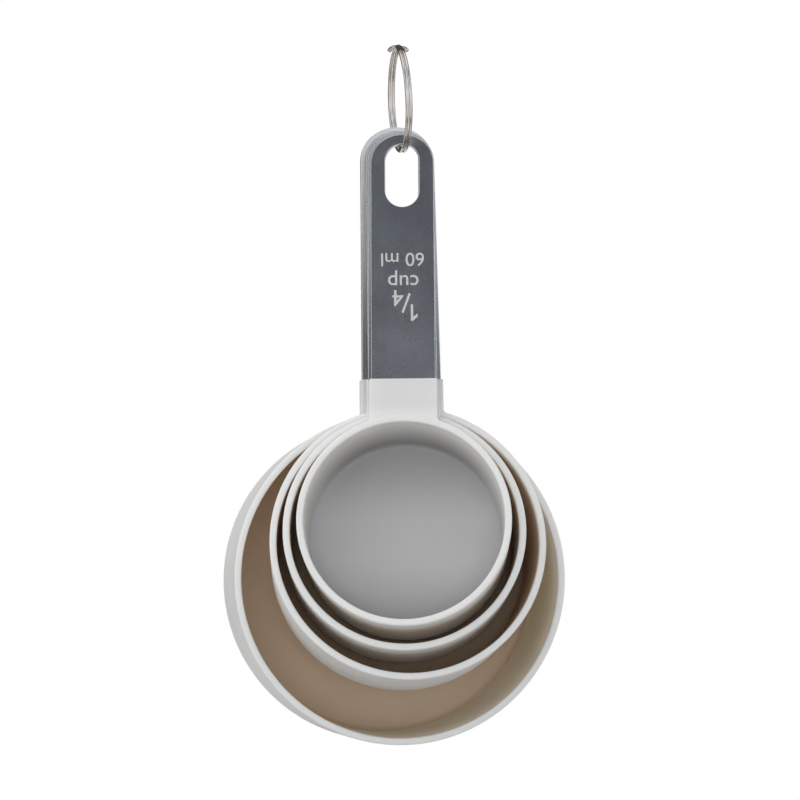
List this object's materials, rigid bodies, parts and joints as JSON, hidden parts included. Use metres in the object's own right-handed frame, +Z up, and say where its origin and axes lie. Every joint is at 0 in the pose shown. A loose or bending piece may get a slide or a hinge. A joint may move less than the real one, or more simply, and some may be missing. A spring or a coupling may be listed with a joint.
{
  "type": "measuring cup set",
  "caption": "Nesting plastic measuring cups with flat steel handles, hanging together on a split ring through long slots in the handle tips.",
  "frame": {"origin": "inside of the split ring at its top, where a hook carries the set", "axes": "+Z up along the hanging handles, +Y away from the mouths of the cups towards their bases, +X to the right when looking into the mouths"},
  "size_m": [0.0961, 0.0846, 0.1955],
  "materials": {
    "cup_plastic": "moulded off-white plastic, slightly translucent, satin surface, warm in the shade",
    "handle_steel": "flat stainless plate, fine satin finish, cut edges brighter",
    "ring_chrome": "bright nickel-plated spring wire"
  },
  "bodies": {
    "ring": {"split_ring": "ring_chrome"},
    "one_cup": {"bowl_one_cup": "cup_plastic", "handle_one_cup": "handle_steel"},
    "half_cup": {"bowl_half_cup": "cup_plastic", "handle_half_cup": "handle_steel"},
    "third_cup": {"bowl_third_cup": "cup_plastic", "handle_third_cup": "handle_steel"},
    "quarter_cup": {"bowl_quarter_cup": "cup_plastic", "handle_quarter_cup": "handle_steel"}
  },
  "joints": [
    {"name": "one_cup_swing", "type": "hinge", "parent": "ring", "child": "one_cup", "pos_m": [0, 0, -0.0141], "axis": [-0.9863, -0.165, 0], "range_deg": [-60, 30]},
    {"name": "half_cup_swing", "type": "hinge", "parent": "one_cup", "child": "half_cup", "pos_m": [0, 0, -0.0141], "axis": [-0.9945, -0.1045, 0], "range_deg": [0, 30]},
    {"name": "third_cup_swing", "type": "hinge", "parent": "half_cup", "child": "third_cup", "pos_m": [0, 0, -0.0141], "axis": [-0.9945, -0.1045, 0], "range_deg": [0, 30]},
    {"name": "quarter_cup_swing", "type": "hinge", "parent": "third_cup", "child": "quarter_cup", "pos_m": [0, 0, -0.0141], "axis": [-0.9945, -0.1045, 0], "range_deg": [0, 30]}
  ]
}
